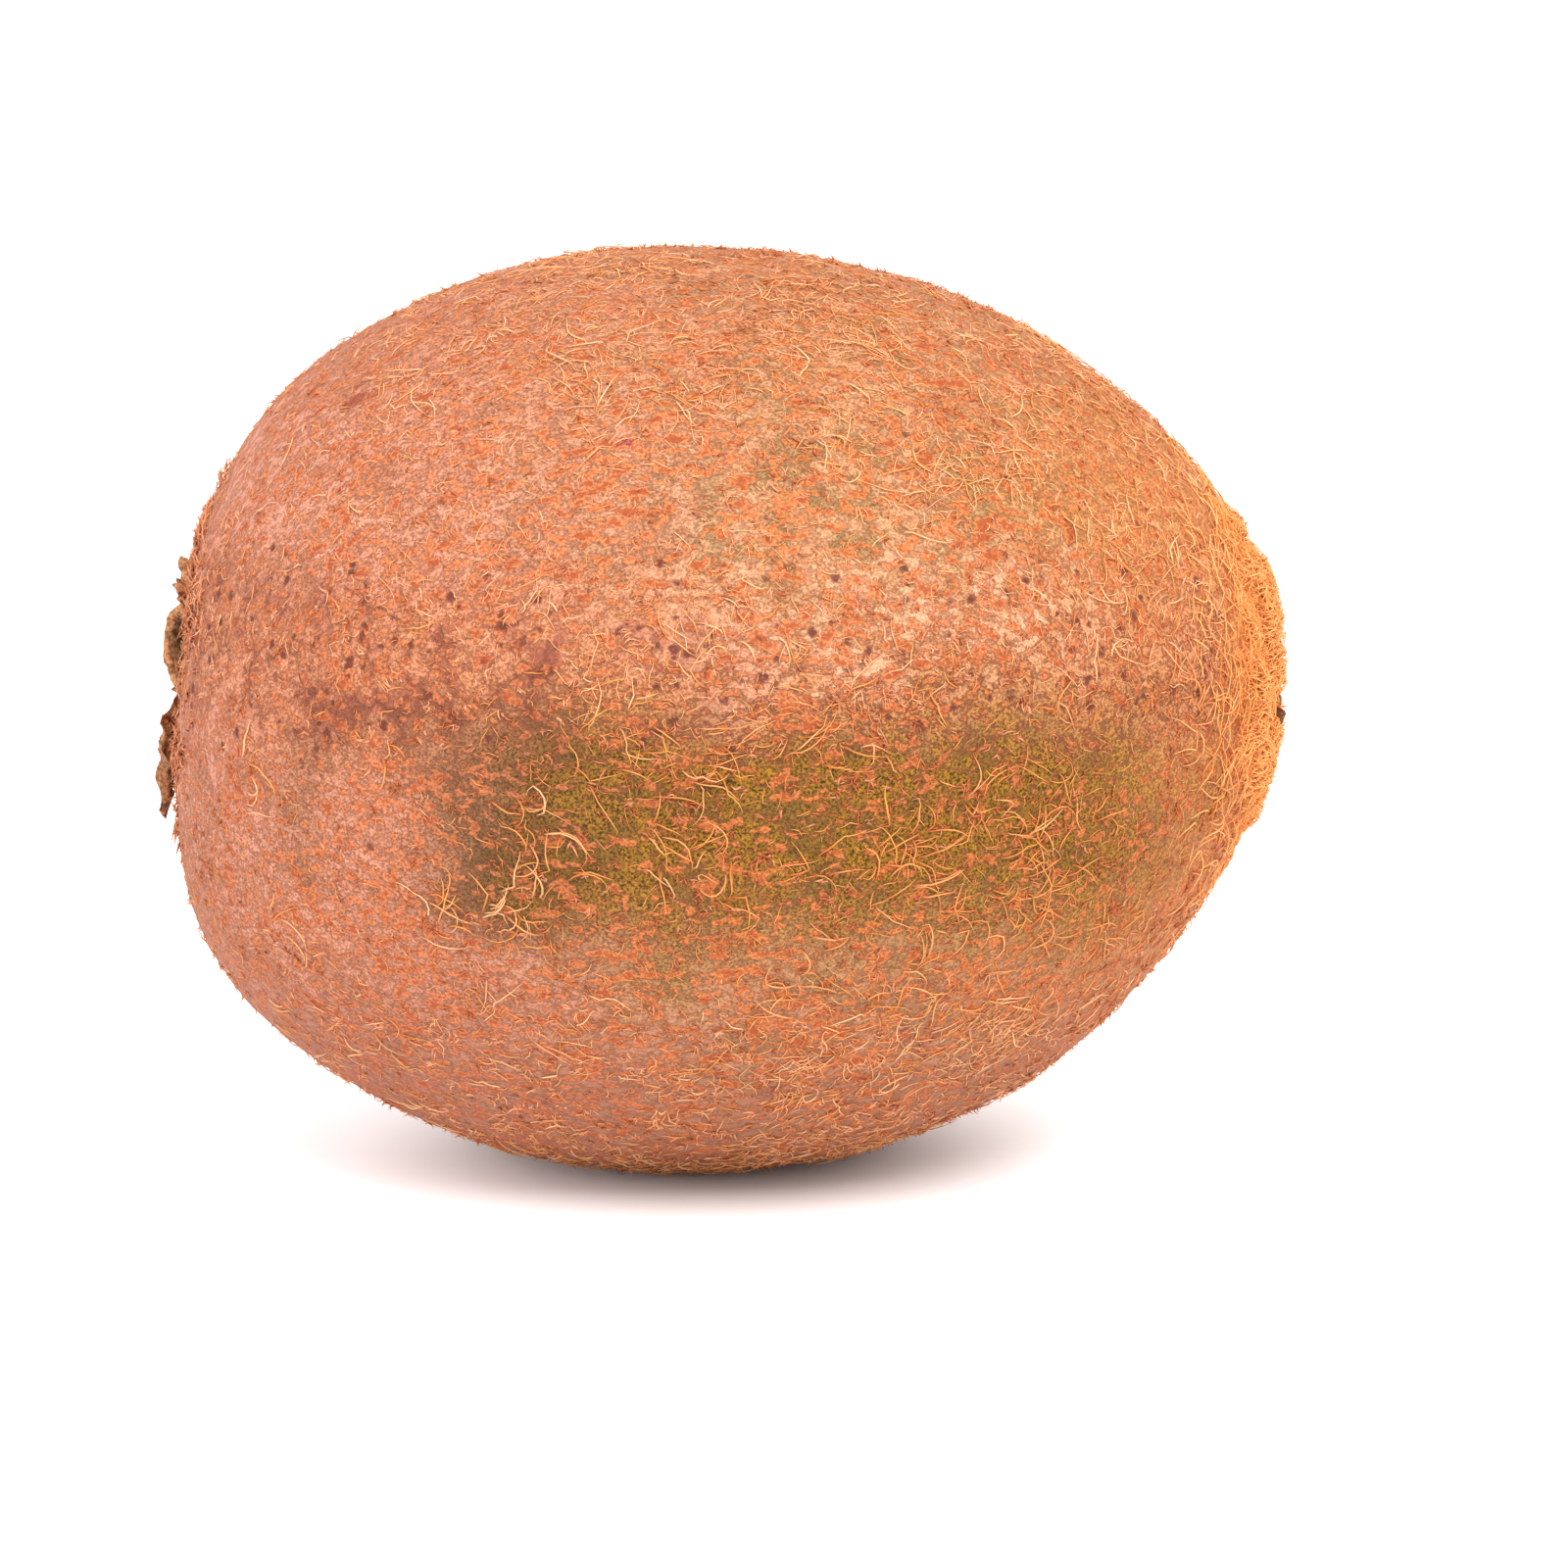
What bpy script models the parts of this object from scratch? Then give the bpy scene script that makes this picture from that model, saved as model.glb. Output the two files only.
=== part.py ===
"""A whole kiwi fruit, lying on its side as it would on a table.

The fruit lies along X with its stem end at -X and its blossom end at +X, +Z up. The origin is
the middle of the small flat spot that it rests on. The skin is a superellipse turned into a
rolled oval section, with a low shoulder along the front, a shallow basin at the stem end and a
dimple at the blossom end. The woody stem scar, the five dry sepals round it and the dried
styles are pieces of their own.
"""

import math

import bmesh
import bpy
from mathutils import Vector

MM = 0.001

# The fruit's skin
STEM_LENGTH = 29.1 * MM  # from the widest station to the stem end
BLOSSOM_LENGTH = 34.9 * MM  # from the widest station to the blossom end
HALF_WIDTH = 28.6 * MM  # the oval section's longer half-axis
HALF_HEIGHT = 26.9 * MM  # the oval section's shorter half-axis
ROLL = math.radians(11)  # the oval is rolled, so that its front shoulder is the higher one
FLAT_SAG = 0.65 * MM  # how much the fruit is flattened where it rests
FULLNESS = 2.08  # the profile's exponent: 2 is an ellipse, more is squarer
STEM_FULLNESS = 0.45  # added at the stem end, which is blunter
BLOSSOM_FULLNESS = -0.27  # added at the blossom end, which is more pointed
SHOULDER_RISE = 0.026  # of the local radius
SHOULDER_SPREAD = math.radians(10)
FACET_FALL = 0.014  # the flatter face below the front shoulder
FACET_SPREAD = math.radians(14)
STEM_POLE_RISE = 0.8 * MM  # the poles sit a little above the middle of the height
BLOSSOM_POLE_RISE = 2.2 * MM
SEGMENTS, RINGS = 60, 44

# The end features: a depth along the fruit's axis, and a share of the widest radius
BASIN_DEPTH, BASIN_REACH = 1.1 * MM, 0.21
RIM_RISE, RIM_REACH, RIM_BREADTH = 0.2 * MM, 0.55, 0.30
RIM_TILT = 0.9 * MM  # the rim round the basin stands out more below than above
DIMPLE_DEPTH, DIMPLE_REACH = 0.9 * MM, 0.09

# The dry pieces at the ends
CLEARANCE = 0.35 * MM
SCAR_FORWARD, SCAR_RISE = 1.8 * MM, 3.0 * MM  # the scar's middle, off the pole of the skin
SCAR_RADIUS, SCAR_HEIGHT = 2.7 * MM, 0.8 * MM
PIT_RADIUS, PIT_DEPTH = 1.7 * MM, 0.45 * MM
SEPAL_START = 3.4 * MM
SEPAL_HALF_WIDTH = 1.7 * MM
SEPAL_THICKNESS = 0.45 * MM
SEPAL_FIRST_ANGLE = math.radians(-8)
SEPAL_ENDS = (5.4 * MM, 5.8 * MM, 6.2 * MM, 7.2 * MM, 8.9 * MM)
SEPAL_CURLS = (0.2 * MM, 0.5 * MM, 0.4 * MM, 0.4 * MM, 0.4 * MM)
STYLE_RADIUS, STYLE_HEIGHT, STYLE_COUNT = 1.9 * MM, 1.0 * MM, 7

# Where the rolled oval stands: its middle is this high, so that the flat spot is at z = 0
SECTION_REACH = math.hypot(HALF_WIDTH * math.sin(ROLL), HALF_HEIGHT * math.cos(ROLL))
MIDDLE_HEIGHT = SECTION_REACH - FLAT_SAG
LOWEST_Y = (
    (HALF_WIDTH**2 - HALF_HEIGHT**2) * math.sin(ROLL) * math.cos(ROLL) / SECTION_REACH
)


def bump(distance, spread):
    return math.exp(-((distance / spread) ** 2))


def turn_between(angle, other):
    """The angle from other to angle, between -pi and pi."""
    return (angle - other + math.pi) % (2 * math.pi) - math.pi


def section_radius(phi, sine):
    """The skin's radius at an angle phi round the axis, 0 at the front and a quarter turn at the top."""
    oval = 1 / math.hypot(
        math.cos(phi - ROLL) / HALF_WIDTH, math.sin(phi - ROLL) / HALF_HEIGHT
    )
    shoulder = SHOULDER_RISE * bump(turn_between(phi, ROLL), SHOULDER_SPREAD)
    back_shoulder = 0.4 * SHOULDER_RISE * bump(turn_between(phi, ROLL + math.pi), 0.3)
    facet = FACET_FALL * bump(turn_between(phi, -ROLL), FACET_SPREAD)
    return oval * (1 + sine**2 * (shoulder + back_shoulder - facet))


def skin_point(theta, phi):
    """A point of the skin. theta runs from 0 at the stem end to pi at the blossom end."""
    cosine, sine = math.cos(theta), math.sin(theta)
    end_fullness = STEM_FULLNESS if cosine > 0 else BLOSSOM_FULLNESS
    fullness = FULLNESS + end_fullness * cosine**2
    along = abs(cosine) ** (2 / fullness)
    share = max(sine, 0) ** (2 / fullness)
    radius = share * section_radius(phi, sine)
    if cosine > 0:
        x = -STEM_LENGTH * along
        x += BASIN_DEPTH * bump(share, BASIN_REACH)
        rim = bump(share - RIM_REACH, RIM_BREADTH)
        x -= (RIM_RISE - RIM_TILT * math.sin(phi)) * rim
        rise = STEM_POLE_RISE * along**4
    else:
        x = BLOSSOM_LENGTH * along - DIMPLE_DEPTH * bump(share, DIMPLE_REACH)
        rise = BLOSSOM_POLE_RISE * along**4
    return Vector(
        (
            x,
            -radius * math.cos(phi) - LOWEST_Y,
            radius * math.sin(phi) + MIDDLE_HEIGHT + rise,
        )
    )


def stem_point(distance, phi):
    """A point of the skin at a distance from the middle of the stem scar, at an angle round it."""
    forward = SCAR_FORWARD + distance * math.cos(phi)
    up = SCAR_RISE + distance * math.sin(phi)
    theta = (math.hypot(forward, up) / HALF_HEIGHT) ** 1.25
    return skin_point(theta, math.atan2(up, forward))


def material(name, color, roughness):
    made = bpy.data.materials.new(name)
    made.use_nodes = True
    shader = made.node_tree.nodes["Principled BSDF"]
    shader.inputs["Base Color"].default_value = (*color, 1)
    shader.inputs["Roughness"].default_value = roughness
    shader.inputs["Metallic"].default_value = 0
    return made


def add_part(name, mesh, finish, collection):
    mesh.materials.append(finish)
    mesh.shade_smooth()
    mesh.set_sharp_from_angle(angle=math.radians(50))
    part = bpy.data.objects.new(name, mesh)
    collection.objects.link(part)
    return part


def mesh_from(bm, name):
    mesh = bpy.data.meshes.new(name)
    bmesh.ops.recalc_face_normals(bm, faces=bm.faces)
    bm.to_mesh(mesh)
    bm.free()
    return mesh


def make_fruit(collection):
    """The fruit: a sphere with its poles along X, each vertex moved out to the skin, then flattened."""
    bm = bmesh.new()
    bmesh.ops.create_uvsphere(bm, u_segments=SEGMENTS, v_segments=RINGS, radius=1)
    for vertex in bm.verts:
        pole_angle = math.acos(max(-1, min(1, vertex.co.z)))
        crowded = pole_angle - 0.25 * math.sin(2 * pole_angle)
        vertex.co = skin_point(crowded, math.atan2(vertex.co.y, vertex.co.x))
    cut = bmesh.ops.bisect_plane(
        bm,
        geom=bm.verts[:] + bm.edges[:] + bm.faces[:],
        dist=0.02 * MM,
        plane_co=(0, 0, 0),
        plane_no=(0, 0, 1),
        clear_inner=True,
    )
    rim = [item for item in cut["geom_cut"] if isinstance(item, bmesh.types.BMEdge)]
    for vertex in {vertex for edge in rim for vertex in edge.verts}:
        vertex.co.z = 0
    bmesh.ops.contextual_create(bm, geom=rim)
    skin = material("kiwi_skin", (0.40, 0.21, 0.10), 0.75)
    return add_part("fruit", mesh_from(bm, "fruit"), skin, collection)


def make_turned(name, profile, finish, collection):
    """A turned piece: a profile of (radius, height) from its top middle round to its bottom middle."""
    bm = bmesh.new()
    points = [bm.verts.new((radius, 0, height)) for radius, height in profile]
    for start, end in zip(points, points[1:]):
        bm.edges.new((start, end))
    mesh = bpy.data.meshes.new(name)
    bm.to_mesh(mesh)
    bm.free()
    part = add_part(name, mesh, finish, collection)
    screw = part.modifiers.new("turn", "SCREW")
    screw.steps = screw.render_steps = 24
    screw.use_merge_vertices = True
    screw.merge_threshold = 0.00001
    screw.use_smooth_shade = True
    return part


def make_stem_scar(collection):
    """The woody end of the cut-off stalk: a low button with a shallow pit."""
    lip = 0.25 * MM
    profile = (
        (0, SCAR_HEIGHT - PIT_DEPTH),
        (0.6 * PIT_RADIUS, SCAR_HEIGHT - PIT_DEPTH),
        (PIT_RADIUS, SCAR_HEIGHT - lip),
        (PIT_RADIUS + lip, SCAR_HEIGHT),
        (SCAR_RADIUS - 2 * lip, SCAR_HEIGHT),
        (SCAR_RADIUS, SCAR_HEIGHT - 2 * lip),
        (SCAR_RADIUS, 0),
        (0, 0),
    )
    wood = material("stem_wood", (0.16, 0.09, 0.05), 0.85)
    scar = make_turned("stem_scar", profile, wood, collection)
    outermost = min(
        stem_point(share * SCAR_RADIUS, math.radians(turn)).x
        for share in (0.35, 0.7, 1.1)
        for turn in range(0, 360, 15)
    )
    scar.location = (
        outermost - CLEARANCE,
        -LOWEST_Y - SCAR_FORWARD,
        MIDDLE_HEIGHT + STEM_POLE_RISE + SCAR_RISE,
    )
    scar.rotation_euler = (0, -math.pi / 2, 0)


def make_sepal(number, end, curl, finish, collection):
    """One dry sepal: a thin flap that lies on the basin, widest near its root, with a curled tip."""
    middle = SEPAL_FIRST_ANGLE + number * math.tau / 5
    bm = bmesh.new()
    bmesh.ops.create_grid(bm, x_segments=8, y_segments=6, size=1)
    for vertex in bm.verts:
        across, out = vertex.co.x, (vertex.co.y + 1) / 2
        distance = SEPAL_START + (end - SEPAL_START) * out
        half_width = SEPAL_HALF_WIDTH * (1 + 0.5 * math.sin(math.pi * out))
        half_width *= math.sqrt(1 - 0.93 * out**3)
        phi = middle + across * half_width / distance
        skin = stem_point(distance, phi)
        lift = CLEARANCE + curl * out**3 + 0.15 * MM * across**2
        vertex.co = skin - Vector((lift, 0, 0))
    sepal = add_part(f"sepal_{number + 1}", mesh_from(bm, "sepal"), finish, collection)
    outward = sum((face.normal.x for face in sepal.data.polygons)) < 0
    solidify = sepal.modifiers.new("thickness", "SOLIDIFY")
    solidify.thickness = SEPAL_THICKNESS
    solidify.offset = 1 if outward else -1


def make_style_remnants(collection):
    """The dried styles: a dark star-shaped tuft, pressed flat in the dimple of the blossom end."""
    bm = bmesh.new()
    bmesh.ops.create_uvsphere(bm, u_segments=4 * STYLE_COUNT, v_segments=8, radius=1)
    for vertex in bm.verts:
        turn = math.atan2(vertex.co.y, vertex.co.x)
        arm = 0.72 + 0.28 * math.cos(STYLE_COUNT * turn)
        flat = Vector((vertex.co.x, vertex.co.y)) * STYLE_RADIUS * arm
        vertex.co = (flat.x, flat.y, 0.5 * STYLE_HEIGHT * (1 + vertex.co.z))
    dark = material("dry_styles", (0.06, 0.035, 0.025), 0.9)
    tuft = add_part("style_remnants", mesh_from(bm, "style_remnants"), dark, collection)
    reach = (STYLE_RADIUS / HALF_HEIGHT) ** (FULLNESS / 2)
    ends = [skin_point(math.pi - share * reach, 0).x for share in (0, 0.25, 0.5, 0.75, 1)]
    tuft.location = (
        max(ends) + CLEARANCE - 0.2 * STYLE_HEIGHT,
        -LOWEST_Y,
        MIDDLE_HEIGHT + BLOSSOM_POLE_RISE,
    )
    tuft.rotation_euler = (0, math.pi / 2, 0)


for old in list(bpy.data.objects):
    bpy.data.objects.remove(old)
kiwi = bpy.data.collections.new("kiwi_fruit")
bpy.context.scene.collection.children.link(kiwi)

make_fruit(kiwi)
make_stem_scar(kiwi)
dry_leaf = material("dry_sepal", (0.34, 0.19, 0.10), 0.85)
for index, (tip, curl) in enumerate(zip(SEPAL_ENDS, SEPAL_CURLS)):
    make_sepal(index, tip, curl, dry_leaf, kiwi)
make_style_remnants(kiwi)
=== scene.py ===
import math

import bmesh
import bpy
import numpy as np
from mathutils import Matrix, Vector, noise
from mathutils.bvhtree import BVHTree


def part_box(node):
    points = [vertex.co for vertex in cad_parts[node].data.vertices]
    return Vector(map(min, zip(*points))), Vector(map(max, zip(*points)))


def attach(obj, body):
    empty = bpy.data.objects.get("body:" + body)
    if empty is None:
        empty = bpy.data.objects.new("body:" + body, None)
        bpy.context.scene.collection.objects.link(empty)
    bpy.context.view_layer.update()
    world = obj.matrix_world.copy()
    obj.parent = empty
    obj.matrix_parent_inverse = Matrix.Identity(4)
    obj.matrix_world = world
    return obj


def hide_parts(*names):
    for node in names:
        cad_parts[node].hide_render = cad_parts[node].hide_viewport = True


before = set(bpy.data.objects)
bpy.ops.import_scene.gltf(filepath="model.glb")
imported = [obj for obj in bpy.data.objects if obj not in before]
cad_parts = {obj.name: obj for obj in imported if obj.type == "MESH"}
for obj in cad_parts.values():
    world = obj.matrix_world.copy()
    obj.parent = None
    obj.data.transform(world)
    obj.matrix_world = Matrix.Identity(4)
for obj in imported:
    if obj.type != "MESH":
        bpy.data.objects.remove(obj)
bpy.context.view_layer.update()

# ---------------------------------------------------------------------------------------------
# The camera: a long lens a little above the fruit, which lies up and left of the view's middle.

MM = 0.001

fruit_low, fruit_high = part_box("fruit")
fruit_middle = (fruit_low + fruit_high) / 2
fruit_half = (fruit_high - fruit_low) / 2

aim = fruit_middle + Vector((3.4, 0.8, -4.9)) * MM
camera_distance = 420 * MM
camera_rise = math.radians(10.5)
camera = bpy.data.objects.new("camera", bpy.data.cameras.new("camera"))
camera.data.sensor_width = 36
camera.data.lens = 165
camera.location = aim + camera_distance * Vector(
    (0, -math.cos(camera_rise), math.sin(camera_rise))
)
camera.rotation_euler = (math.pi / 2 - camera_rise, 0, 0)
camera.data.clip_start = 0.01
bpy.context.scene.collection.objects.link(camera)
bpy.context.scene.camera = camera

# ---------------------------------------------------------------------------------------------
# The studio: white surroundings, with one wide soft light overhead and in front.

bpy.context.scene.view_settings.view_transform = "Standard"

surroundings = bpy.data.worlds.new("surroundings")
surroundings.use_nodes = True
background = surroundings.node_tree.nodes["Background"]
background.inputs["Color"].default_value = (1, 1, 1, 1)
background.inputs["Strength"].default_value = 1.18
bpy.context.scene.world = surroundings


def softbox(name, place, width, watts):
    """A square lamp that faces the fruit."""
    lamp = bpy.data.objects.new(name, bpy.data.lights.new(name, "AREA"))
    lamp.data.size = width
    lamp.data.energy = watts
    lamp.location = place
    lamp.rotation_euler = (fruit_middle - lamp.location).to_track_quat("-Z", "Y").to_euler()
    bpy.context.scene.collection.objects.link(lamp)


softbox("key_light", Vector((0.12, -0.42, 0.50)), 0.36, 3.8)

# ---------------------------------------------------------------------------------------------
# The skin: a thin dry leathery peel that grew over the flesh. A fine sphere is laid over the
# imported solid, evened out where that is faceted, then given the skin's own soft unevenness.

ROWS, COLUMNS = 228, 420
EVENING_PASSES = 40
FIRST_ROW = 3  # hairs stay this many rows away from the sphere's poles
CROWDING = 0.2  # how far the rows are pulled towards the ends
LUMP_SIZE, LUMP_HEIGHT = 9 * MM, 0.16 * MM
GRAIN_SIZE, GRAIN_HEIGHT = 1.3 * MM, 0.05 * MM
# The shallow dent round the stalk's scar, and the pit that the scar's cup fills: how far out
# from the scar's middle each starts and has its whole depth, in millimetres.
DENT_REACH, DENT_FLOOR, DENT_DEPTH = 8, 2, 0.7 * MM
PIT_REACH, PIT_FLOOR, PIT_DEPTH = 3.2, 1.2, 1.3 * MM

solid = bmesh.new()
solid.from_mesh(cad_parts["fruit"].data)
bmesh.ops.remove_doubles(solid, verts=solid.verts, dist=0.001 * MM)
solid_surface = BVHTree.FromBMesh(solid)
solid.free()

row_angle = np.linspace(0, math.pi, ROWS + 1)
row_angle = (row_angle - CROWDING * np.sin(2 * row_angle))[:, None]
column_angle = np.linspace(0, math.tau, COLUMNS, endpoint=False)[None, :]
outward = np.stack(
    np.broadcast_arrays(
        -np.cos(row_angle) * fruit_half.x,
        np.sin(row_angle) * np.sin(column_angle) * fruit_half.y,
        np.sin(row_angle) * np.cos(column_angle) * fruit_half.z,
    ),
    axis=-1,
)


def reach_of(direction):
    """How far the solid's surface lies from the fruit's middle, as a share of direction."""
    direction = Vector(direction)
    place = solid_surface.ray_cast(fruit_middle + 1.5 * direction, -direction)[0]
    return (place - fruit_middle).length / direction.length if place else 1.0


reach = np.array([reach_of(direction) for direction in outward.reshape(-1, 3)])
reach = reach.reshape(ROWS + 1, COLUMNS)
for _ in range(EVENING_PASSES):
    ends = np.pad(reach, ((1, 1), (0, 0)), mode="edge")
    around = np.roll(reach, 1, axis=1) + np.roll(reach, -1, axis=1)
    reach = (ends[:-2] + ends[2:] + around) / 4
reach[0], reach[-1] = reach[0].mean(), reach[-1].mean()
skin = np.array(fruit_middle) + reach[..., None] * outward


def between(values, low, high):
    """0 at low, 1 at high, and smooth between them."""
    share = np.clip((values - low) / (high - low), 0, 1)
    return share * share * (3 - 2 * share)


scar_low, scar_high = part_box("stem_scar")
scar_middle = (scar_low + scar_high) / 2
from_scar = np.linalg.norm((skin - np.array(scar_middle)) / MM, axis=-1)
dent = DENT_DEPTH * between(from_scar, DENT_REACH, DENT_FLOOR)
dent += PIT_DEPTH * between(from_scar, PIT_REACH, PIT_FLOOR)
skin -= dent[..., None] * outward / np.linalg.norm(outward, axis=-1, keepdims=True)


def lump(place):
    """How far the skin swells out at a place. It stays flat where the fruit rests."""
    place = Vector(place)
    soft = noise.noise(place / LUMP_SIZE) * LUMP_HEIGHT
    fine = noise.noise(place / GRAIN_SIZE) * GRAIN_HEIGHT
    return (soft + fine) * min(1, place.z / (2 * MM))


lumps = np.array([lump(place) for place in skin.reshape(-1, 3)]).reshape(ROWS + 1, COLUMNS)
lumps[0], lumps[-1] = lumps[0, 0], lumps[-1, 0]
skin += lumps[..., None] * outward / np.linalg.norm(outward, axis=-1, keepdims=True)
skin[..., 2] = np.maximum(skin[..., 2], 0)

down_rows = np.gradient(skin, axis=0)
round_columns = (np.roll(skin, -1, axis=1) - np.roll(skin, 1, axis=1)) / 2
facing = np.cross(round_columns, down_rows)
facing[0], facing[-1] = (-1, 0, 0), (1, 0, 0)
facing *= np.sign((facing * outward).sum(-1, keepdims=True))
facing /= np.linalg.norm(facing, axis=-1, keepdims=True) + 1e-12

sphere = bmesh.new()
bmesh.ops.create_uvsphere(sphere, u_segments=COLUMNS, v_segments=ROWS, radius=1)
unit = np.array([vertex.co for vertex in sphere.verts])
rows = np.rint(np.arccos(np.clip(unit[:, 2], -1, 1)) / math.pi * ROWS).astype(int)
columns = np.rint(np.arctan2(unit[:, 1], unit[:, 0]) / math.tau * COLUMNS).astype(int)
for vertex, place in zip(sphere.verts, skin[rows, columns % COLUMNS]):
    vertex.co = place
bmesh.ops.recalc_face_normals(sphere, faces=sphere.faces)
peel_mesh = bpy.data.meshes.new("peel")
sphere.to_mesh(peel_mesh)
sphere.free()
peel_mesh.shade_smooth()
peel = bpy.data.objects.new("peel", peel_mesh)
bpy.context.scene.collection.objects.link(peel)
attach(peel, "root")
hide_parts("fruit")


class Value:
    """A number that varies over a surface. Python's operators on it add Math nodes."""

    def __init__(self, finish, socket):
        self.finish, self.socket = finish, socket

    def maths(self, operation, *operands):
        inputs = dict(enumerate(operands))
        return self.finish.node("ShaderNodeMath", {"operation": operation}, inputs)

    def __add__(self, other):
        return self.maths("ADD", self, other)

    def __sub__(self, other):
        return self.maths("SUBTRACT", self, other)

    def __rsub__(self, other):
        return self.maths("SUBTRACT", other, self)

    def __mul__(self, other):
        return self.maths("MULTIPLY", self, other)

    __radd__, __rmul__ = __add__, __mul__

    def rising(self, low, high):
        """0 where this is below low, 1 where it is above high, and smooth between them."""
        inputs = {"Value": self, "From Min": low, "From Max": high}
        return self.finish.node(
            "ShaderNodeMapRange", {"interpolation_type": "SMOOTHSTEP"}, inputs
        )


class Finish:
    """A material in the making: a Principled shader, and the nodes that feed it."""

    def __init__(self, name, **constants):
        self.material = bpy.data.materials.new(name)
        self.material.use_nodes = True
        self.tree = self.material.node_tree
        self.shader = self.tree.nodes["Principled BSDF"]
        for socket, value in constants.items():
            self.shader.inputs[socket.replace("_", " ")].default_value = value

    def feed(self, socket, value):
        if isinstance(value, Value):
            self.tree.links.new(value.socket, socket)
        else:
            socket.default_value = value

    def node(self, kind, settings=None, inputs=None, output=0):
        made = self.tree.nodes.new(kind)
        for name, value in (settings or {}).items():
            setattr(made, name, value)
        for name, value in (inputs or {}).items():
            self.feed(made.inputs[name], value)
        return Value(self, made.outputs[output])

    def give(self, socket, value):
        self.feed(self.shader.inputs[socket], value)

    def mix(self, factor, first, second):
        """first where factor is 0 and second where it is 1; both are colours."""
        first, second = (
            (*color, 1) if isinstance(color, tuple) else color for color in (first, second)
        )
        inputs = {0: factor, 6: first, 7: second}
        return self.node("ShaderNodeMix", {"data_type": "RGBA"}, inputs, output=2)

    def place(self, shift=(0, 0, 0), scale=(1, 1, 1)):
        """Object coordinates in millimetres, moved by shift and then multiplied by scale."""
        coordinates = self.node("ShaderNodeTexCoord", output="Object")
        scale = tuple(share / MM for share in scale)
        moved = tuple(-part * times for part, times in zip(shift, scale))
        inputs = {"Vector": coordinates, "Location": moved, "Scale": scale}
        return self.node("ShaderNodeMapping", {}, inputs)

    def clouds(self, place, size, detail=2.0, roughness=0.5):
        """Soft noise from 0 to 1, with blotches about size millimetres apart."""
        inputs = {"Vector": place, "Scale": 1 / size, "Detail": detail, "Roughness": roughness}
        return self.node("ShaderNodeTexNoise", {}, inputs)

    def stir(self, place, size, amount):
        """place moved about by up to amount millimetres, so that what reads it turns ragged."""
        inputs = {"Vector": place, "Scale": 1 / size, "Detail": 3.0}
        swirl = self.node("ShaderNodeTexNoise", {}, inputs, output="Color")
        inputs = {0: swirl, 1: (amount, amount, amount), 2: place}
        return self.node("ShaderNodeVectorMath", {"operation": "MULTIPLY_ADD"}, inputs)

    def cells(self, place, size, output="Distance", feature="F1"):
        """The distance to the nearest of many scattered dots, or each dot's own colour."""
        inputs = {"Vector": place, "Scale": 1 / size}
        return self.node("ShaderNodeTexVoronoi", {"feature": feature}, inputs, output=output)

    def parts(self, place):
        """The three numbers of a place or a colour."""
        return [self.node("ShaderNodeSeparateXYZ", {}, {0: place}, output=axis) for axis in "XYZ"]

    def distance(self, place):
        """How far a place lies from the point that it counts from."""
        return self.node("ShaderNodeVectorMath", {"operation": "LENGTH"}, {0: place}, "Value")

    def roughen(self, height):
        """Small relief in the shading; height is in millimetres."""
        inputs = {"Height": height, "Strength": 1.0, "Distance": MM}
        self.give("Normal", self.node("ShaderNodeBump", {}, inputs))


# Where each mark on the skin belongs. All distances are in millimetres from the fruit's middle.
peel_finish = Finish("peel", Roughness=0.65, Specular_IOR_Level=0.1)
even = peel_finish.place(shift=fruit_middle)
lengthwise = peel_finish.place(shift=fruit_middle, scale=(0.6, 1, 1))
along, across, upward = peel_finish.parts(even)
wander = peel_finish.clouds(even, 9, detail=3) - 0.5
front = (across * -1).rising(2, 14)
underside = (upward + 9 * wander).rising(8, 1) * (upward + 8 * wander).rising(-15, -4)
shoulder = (upward + 8 * wander).rising(-2, 4) * (upward + 6 * wander).rising(14, 7)
pale_crest_and_highlight = (upward + 6 * wander).rising(3, 7) * (upward + 6 * wander).rising(15, 9) * front
pale_crest_and_highlight = pale_crest_and_highlight * (along + 10 * wander).rising(-10, 4) * (along + 10 * wander).rising(24, 16)
stem_side = (along + 14 * wander).rising(6, -18)
brush_end = (along + 4 * wander).rising(28.0, 29.8)
blossom_side = (along + 8 * wander).rising(10, 27)

grain = peel_finish.clouds(even, 0.15, detail=2, roughness=0.65)
mottle = peel_finish.clouds(even, 2.4, detail=5, roughness=0.62)


def tone(dark, light):
    """One colour of the skin, with its fine grain of darker and lighter cells."""
    return peel_finish.mix(grain.rising(0.34, 0.66), dark, light)


# The colours of the skin, each with its grain, and then plain ones for small marks.
tan = tone((0.32, 0.148, 0.070), (0.66, 0.315, 0.155))
drab = tone((0.18, 0.104, 0.040), (0.37, 0.210, 0.086))
pink = tone((0.32, 0.124, 0.080), (0.73, 0.285, 0.192))
rubbed = tone((0.28, 0.094, 0.042), (0.66, 0.250, 0.122))
pale = tone((0.52, 0.250, 0.135), (0.82, 0.430, 0.265))
olive = tone((0.036, 0.020, 0.002), (0.34, 0.152, 0.012))
grime_and_painted_shade = tone((0.032, 0.017, 0.005), (0.18, 0.082, 0.022))
ochre = tone((0.50, 0.155, 0.034), (0.81, 0.288, 0.076))
painted_light_flush, russet, mauve_and_painted_shade = (0.80, 0.36, 0.27), (0.33, 0.115, 0.055), (0.30, 0.122, 0.078)
wine, dark_wine, dark_olive = (0.27, 0.065, 0.045), (0.14, 0.034, 0.028), (0.070, 0.038, 0.010)

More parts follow.
